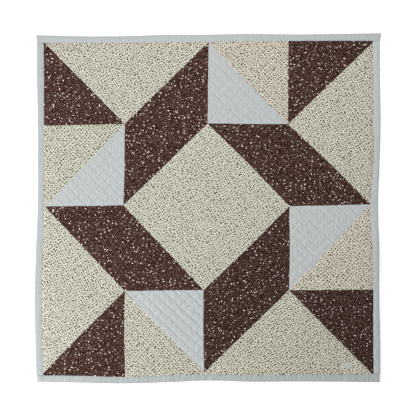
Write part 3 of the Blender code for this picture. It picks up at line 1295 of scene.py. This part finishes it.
@dataclass(frozen=True)
class BindingStrip:
    """One strip of plain cotton, folded round an edge and sewn through near its inner fold.

    A full strip laps over the side strips, its corners are drawn out as ears, and its ends close in a
    round fold at their middle height. A side strip's ends sink and then go under, and lose a share of
    their height and are drawn in by another at each. What has out in its name is measured across the
    strip, from the panel's edge to the rim, and each pair of sizes is where a change starts and ends.
    The ridges are shares of the pucker, and lean over along the strip. Its tint and its rim tint are painted
    light and shade: the first over the whole strip, the second on the rounded outer fold, darker there
    except on the right strip.
    """

    edge: Edge
    pucker: float = 0.3 * MM
    # Painted light and shade, as shares: over the whole strip, and on its outer fold.
    tint: float = 0.0
    rim_light_and_shade: float = -0.08
    station: float = 2.5 * MM
    side_tuck: float = 5.0 * MM
    end_over: float = 0.8 * MM
    end_round: float = 2.4 * MM
    end_steps: int = 8
    end_closed: float = 0.999
    middle_high: float = 2.1 * MM
    lap_half: float = 4.0 * MM
    lap_high: float = 0.5 * MM
    lap_out: tuple[float, float] = (7.2 * MM, 19.2 * MM)
    ear: float = 0.0
    ear_long: float = 12.0 * MM
    ear_power: float = 1.5
    sink_long: float = 3.5 * MM
    under_long: float = 3.0 * MM
    under_high: float = 0.95 * MM
    sunk: tuple[float, float] = (0.32, 0.45)
    drawn_in: tuple[float, float] = (0.05, 0.2)
    lean: float = 0.35
    ridges: tuple[Wave, ...] = (Wave(1, 6.5 * MM, 0.6), Wave(2, 15.0 * MM, 0.7))
    ridge_high: tuple[float, float] = (2.0 * MM, 4.0 * MM)
    ridge_out: tuple[float, float] = (0.5 * MM, 4.0 * MM)
    ridge_least: float = 0.15
    rim_waves: tuple[Wave, ...] = (Wave(3, 9.0 * MM, 0.18 * MM),)
    fold_waves: tuple[Wave, ...] = (Wave(4, 8.0 * MM, 0.2 * MM), Wave(5, 22.0 * MM, 0.35 * MM))
    fold_reach: float = 6.0 * MM
    # Where the painted shade on the outer fold starts and where it is full.
    rim_shading_out: tuple[float, float] = (16.0 * MM, 20.0 * MM)
    cloth_shift: float = 0.37
    stitch_step: float = 3.0 * MM
    full_row_in: float = 3.0 * MM
    side_row_in: float = 1.0 * MM

    @property
    def half(self) -> float:
        """Half the strip's length."""
        return OUTLINE.wide / 2 + self.end_over if self.edge.full_width else OUTLINE.panel_y + self.side_tuck

    def stations(self) -> Array:
        """Places along the strip, closer together at its ends."""
        inner = self.half - 2 * self.end_round
        ends = np.linspace(0, math.pi / 2, self.end_steps + 1)[1:]
        tail = inner + 2 * self.end_round * np.sin(ends)
        middle = np.linspace(-inner, inner, round(2 * inner / self.station) + 1)
        return np.concatenate((-tail[::-1], middle, tail))

    def waves(self, along: Array, waves: Sequence[Wave]) -> Array:
        """Smooth uneven waves along the strip, one kind on top of another.

        Args:
            along: Places along the strip, in metres.
            waves: The kinds of waves.

        Returns:
            Their height at each place.
        """
        total = np.zeros_like(along)
        for wave in waves:
            heights = np.random.default_rng(wave.seed + self.edge.value[2]).uniform(-1, 1, WAVE_COUNT)
            place = along / wave.length + WAVE_COUNT // 3
            start = np.floor(place).astype(int)
            share = eased(place - start)
            total = total + (heights[start] * (1 - share) + heights[start + 1] * share) * wave.high
        return total

    def surface(self, along: Array, creases: Sequence[Crease]) -> Array:
        """The strip's cloth at places along it.

        Args:
            along: Places along the strip.
            creases: The lines of its fold to follow.

        Returns:
            Points on the laid blanket, creases by places by three.
        """
        out = np.array([crease.out for crease in creases])[:, None] * MM
        high = np.array([crease.high for crease in creases])[:, None] * MM
        along = np.broadcast_to(along, (len(creases), len(along)))
        top = ramp(high, *self.ridge_high) * np.maximum(ramp(out, *self.ridge_out), self.ridge_least)
        high = high + self.waves(along + out * self.lean, self.ridges) * top * self.pucker
        out = out + self.waves(along, self.rim_waves) * ramp(out, 0.0, FOLD_WIDE)
        out = out + self.waves(along, self.fold_waves) * ramp(out, self.fold_reach, 0.0)
        if self.edge.full_width:
            ear = ramp(np.abs(along), self.half - self.ear_long, self.half)
            drawn = ramp(out, 0.0, FOLD_WIDE) ** self.ear_power
            along = along + np.sign(along) * self.ear * ear * drawn
            out, high = self.close_end(along, out, high)
        else:
            out, high = self.tuck_end(along, out, high)
        away_x, away_y, _ = self.edge.value
        reach = (OUTLINE.panel_y if self.edge.full_width else OUTLINE.panel_x) + out
        x = away_x * reach if away_x else along
        y = away_y * reach if away_y else along
        east, north = OUTLINE.laid(x, y)
        return np.stack((east, north, high), axis=-1)

    def close_end(self, along: Array, out: Array, high: Array) -> tuple[Array, Array]:
        """Rides the strip up over the side strips and closes its ends in a rounded fold."""
        start, end = self.lap_out
        lap = eased(ramp(np.abs(along), OUTLINE.panel_x - self.lap_half, OUTLINE.panel_x + self.lap_half))
        high = high + lap * ramp(out, end, start) * self.lap_high * (high > self.ridge_high[0])
        over = np.minimum(ramp(np.abs(along), self.half - self.end_round, self.half), self.end_closed)
        return out, self.middle_high + (high - self.middle_high) * np.sqrt(1 - over**2)

    def tuck_end(self, along: Array, out: Array, high: Array) -> tuple[Array, Array]:
        """Presses the strip's ends down and in, under the head and foot strips."""
        near = eased(ramp(np.abs(along), OUTLINE.panel_y - self.sink_long, OUTLINE.panel_y))
        under = ramp(np.abs(along), OUTLINE.panel_y, OUTLINE.panel_y + self.under_long)
        left = (1 - self.sunk[0] * near) * (1 - self.sunk[1] * under)
        high = self.under_high * under + high * left
        return out * (1 - self.drawn_in[0] * near - self.drawn_in[1] * under), high

    def build(self) -> None:
        """The folded strip."""
        along = self.stations()
        points = self.surface(along, FOLDED)
        if self.edge in (Edge.LEFT, Edge.HEAD):
            points = points[:, ::-1]
            along = along[::-1]
        mesh = grid_mesh(f"binding_{self.edge.label}_strip", points)
        steps = [math.hypot(b.out - a.out, b.high - a.high) * MM for a, b in zip(FOLDED, FOLDED[1:])]
        around = np.concatenate(([0.0], np.cumsum(steps)))
        flat = np.stack(np.broadcast_arrays(along[None, :], around[:, None]), axis=-1).reshape(-1, 2)
        set_cloth_uv(mesh, flat + self.edge.value[2] * self.cloth_shift)
        # Painted light and shade: the strip's tint, with its rim tint on the outer fold.
        rim = ramp(np.array([crease.out for crease in FOLDED]) * MM, *self.rim_shading_out)
        set_values(mesh, TONE_AND_PAINTED_LIGHT, "FLOAT", np.repeat(self.tint + self.rim_light_and_shade * rim, len(along)))
        piece = link_piece(mesh.name, mesh, BINDING_COTTON)
        settle(piece, "plain_blue_grey_cotton", f"binding_{self.edge.label}")
        2 * self.half

    def stitch_row(self) -> Array:
        """The row of stitches through the strip."""
        reach = OUTLINE.panel_y - self.side_row_in
        if self.edge.full_width:
            reach = OUTLINE.wide / 2 - self.full_row_in
        along = np.linspace(-reach, reach, round(2 * reach / self.stitch_step))
        return self.surface(along, (FOLDED[STITCH_CREASE],))[0]


# Stitching


@dataclass(frozen=True)
class StitchSizes:
    """How far apart, long and thick the stitches are."""

    stitch_pitch: float = 3.5 * MM
    stitch_length: float = 2.9 * MM
    thread_radius: float = 0.22 * MM


QUILTING_STITCHES = StitchSizes()
BINDING_STITCHES = StitchSizes(3.2 * MM, 2.6 * MM, 0.24 * MM)
LABEL_STITCHES = StitchSizes(2.2 * MM, 1.7 * MM, 0.16 * MM)


def make_stitches(relief: Sweep | None) -> Sweep:
    """The tree that sews stitches along rows of edges.

    Args:
        relief: The tree that first raises the rows with the quilted cloth, or None where they lie right.

    Returns:
        The tree, with its sizes as named inputs.
    """
    sweep = Sweep("sew_rows" if relief is None else "sew_quilting")
    for name in inputs_of(QUILTING_STITCHES):
        sweep.add_input(name)
    sweep.add_input("Thread", "NodeSocketMaterial")
    loom = sweep.loom
    rows = sweep.take("Geometry")
    if relief is not None:
        values = {"Geometry": rows, **inputs_of(ROW_RELIEF)}
        rows = loom.strand("GeometryNodeGroup", {"node_tree": relief.tree}, values)
    curve = loom.strand("GeometryNodeMeshToCurve", None, {"Mesh": rows})
    values = {"Curve": curve, "Length": sweep.take("Stitch pitch")}
    points = loom.strand("GeometryNodeResampleCurve", {"mode": "LENGTH"}, values)
    bead = loom.strand("GeometryNodeMeshUVSphere", None, {"Segments": 3, "Rings": 3, "Radius": 1.0})
    values = {"Vector": loom.strand("GeometryNodeInputTangent")}
    along = loom.strand("FunctionNodeAlignRotationToVector", {"axis": "Z"}, values)
    radius = sweep.take("Thread radius")
    size = loom.join(radius, radius, sweep.take("Stitch length") * 0.5)
    values = {"Points": points, "Instance": bead, "Rotation": along, "Scale": size}
    sewn = loom.strand("GeometryNodeInstanceOnPoints", None, values)
    real = loom.strand("GeometryNodeRealizeInstances", None, {"Geometry": sewn})
    smooth = loom.strand("GeometryNodeSetShadeSmooth", None, {"Geometry": real})
    values = {"Geometry": smooth, "Material": sweep.take("Thread")}
    sweep.close(loom.strand("GeometryNodeSetMaterial", None, values))
    return sweep


def sew(sweep: Sweep, name: str, mesh: bpy.types.Mesh, sizes: StitchSizes, thread: Finish) -> None:
    """Makes one piece of stitches along the rows of a mesh.

    Args:
        sweep: The tree that sews.
        name: The piece's name.
        mesh: The rows, as edges alone.
        sizes: How large its stitches are.
        thread: What they are sewn with.
    """
    piece = link_piece(name, mesh)
    sweep.run(piece, {**inputs_of(sizes), "Thread": thread.material()})
    settle(piece, None)


def mesh_of_rows(name: str, rows: Sequence[Array]) -> bpy.types.Mesh:
    """A mesh of edges alone, one run for each row of points."""
    points, edges = [], []
    for row in rows:
        first = len(points)
        points.extend(row.tolist())
        edges.extend((first + step, first + step + 1) for step in range(len(row) - 1))
    mesh = bpy.data.meshes.new(name)
    mesh.from_pydata(points, edges, [])
    return mesh


@dataclass(frozen=True)
class Quilting:
    """The rows of stitches that hold the three layers together in diamonds."""

    step: float = 3.5 * MM

    def rows(self, rising: bool) -> list[Array]:
        """Every row of one slant, on the true rectangle and cut off at the panel's edges."""
        reach = (OUTLINE.panel_x, OUTLINE.panel_y)
        corners = np.array([(x * reach[0], y * reach[1]) for x in (-1, 1) for y in (-1, 1)])
        counts = LATTICE.rows_at(corners[:, 0], corners[:, 1])
        this, other = counts if rising else counts[::-1]
        way = np.arange(other.min(), other.max(), self.step / LATTICE.pitch)
        rows = []
        for number in range(math.ceil(this.min()), math.floor(this.max()) + 1):
            line = np.full_like(way, number)
            x, y = LATTICE.place_at(line, way) if rising else LATTICE.place_at(way, line)
            inside = (np.abs(x) < reach[0]) & (np.abs(y) < reach[1])
            if inside.sum() > 2:
                rows.append(np.column_stack((x[inside], y[inside], np.zeros(inside.sum()))))
        return rows

    def build(self) -> None:
        """Both slants of rows."""
        sweep = make_stitches(RELIEF)
        for name, rising in (("quilting_rising", True), ("quilting_falling", False)):
            mesh = mesh_of_rows(name, self.rows(rising))
            lay_flat(mesh)
            sew(sweep, name, mesh, QUILTING_STITCHES, QUILTING_THREAD)


def sew_edges(strips: Sequence[BindingStrip]) -> None:
    """Sews the binding through and the tag down."""
    sweep = make_stitches(None)
    for name, rows, sizes in (
        ("binding_stitches", [strip.stitch_row() for strip in strips], BINDING_STITCHES),
        ("label_stitches", TAG.rows_of_stitches(), LABEL_STITCHES),
    ):
        sew(sweep, name, mesh_of_rows(name, rows), sizes, EDGE_THREAD)


# Studio


class Lamp(NamedTuple):
    """One soft square lamp that faces the blanket's middle."""

    name: str
    power: float
    wide: float
    place: tuple[float, float, float]


@dataclass(frozen=True)
class Studio:
    """The floor, the even sky, the soft lamps at the left and the head, and the camera straight above."""

    floor_half: float = 4.0
    camera_high: float = 3.5
    view_wide: float = 1.2106
    view_middle: Place = (1.4 * MM, 1.25 * MM)
    sensor: float = 36.0
    sky: float = 0.31
    lamps: tuple[Lamp, ...] = (
        Lamp("left_lamp", 71.0, 1.2, (-1.98, -1.08, 1.3)),
        Lamp("head_lamp", 14.9, 1.2, (0.13, 0.91, 1.31)),
    )

    def lay_floor(self) -> None:
        """A plain pale floor that the blanket lies on."""
        half = self.floor_half
        mesh = bpy.data.meshes.new("floor")
        corners = [(-half, -half, 0.0), (half, -half, 0.0), (half, half, 0.0), (-half, half, 0.0)]
        mesh.from_pydata(corners, [], [(0, 1, 2, 3)])
        link_piece("floor", mesh, FLOOR_PAINT)

    def light(self) -> None:
        """An even sky and the lamps."""
        world = bpy.data.worlds.new("studio_sky")
        world.use_nodes = True
        sky = world.node_tree.nodes["Background"]
        sky.inputs["Color"].default_value = (1.0, 1.0, 1.0, 1.0)
        sky.inputs["Strength"].default_value = self.sky
        bpy.context.scene.world = world
        for lamp in self.lamps:
            data = bpy.data.lights.new(lamp.name, "AREA")
            data.energy = lamp.power
            data.size = lamp.wide
            hung = bpy.data.objects.new(lamp.name, data)
            hung.location = lamp.place
            hung.rotation_euler = Vector(lamp.place).to_track_quat("Z", "Y").to_euler()
            hung.visible_camera = False
            bpy.context.scene.collection.objects.link(hung)

    def set_camera(self) -> None:
        """The camera, looking straight down with the blanket's head at the top."""
        data = bpy.data.cameras.new("camera")
        data.sensor_width = self.sensor
        data.lens = self.sensor * self.camera_high / self.view_wide
        camera = bpy.data.objects.new("camera", data)
        camera.location = (*self.view_middle, self.camera_high)
        bpy.context.scene.collection.objects.link(camera)
        bpy.context.scene.camera = camera

    def build(self) -> None:
        """Floor, light and camera."""
        self.lay_floor()
        self.light()
        self.set_camera()
        bpy.context.scene.view_settings.view_transform = "Standard"


def main() -> None:
    """Builds the studio and every piece of the blanket."""
    logging.basicConfig(level=logging.INFO, format="%(message)s")
    Studio().build()
    Backing().build()
    Patchwork().build()
    # Each strip's tint and rim tint are painted light and shade.
    strips = (
        BindingStrip(Edge.LEFT, pucker=0.5 * MM, tint=0.01, rim_light_and_shade=-0.1),
        BindingStrip(Edge.RIGHT, pucker=0.4 * MM, tint=0.13, rim_light_and_shade=0.03),
        BindingStrip(Edge.FOOT, pucker=0.8 * MM, tint=0.02, rim_light_and_shade=-0.14, end_over=-1.8 * MM),
        BindingStrip(Edge.HEAD, pucker=0.35 * MM, tint=0.04, ear=2.6 * MM),
    )
    for strip in strips:
        strip.build()
    TAG.build()
    Quilting().build()
    sew_edges(strips)


if __name__ == "__main__":
    main()
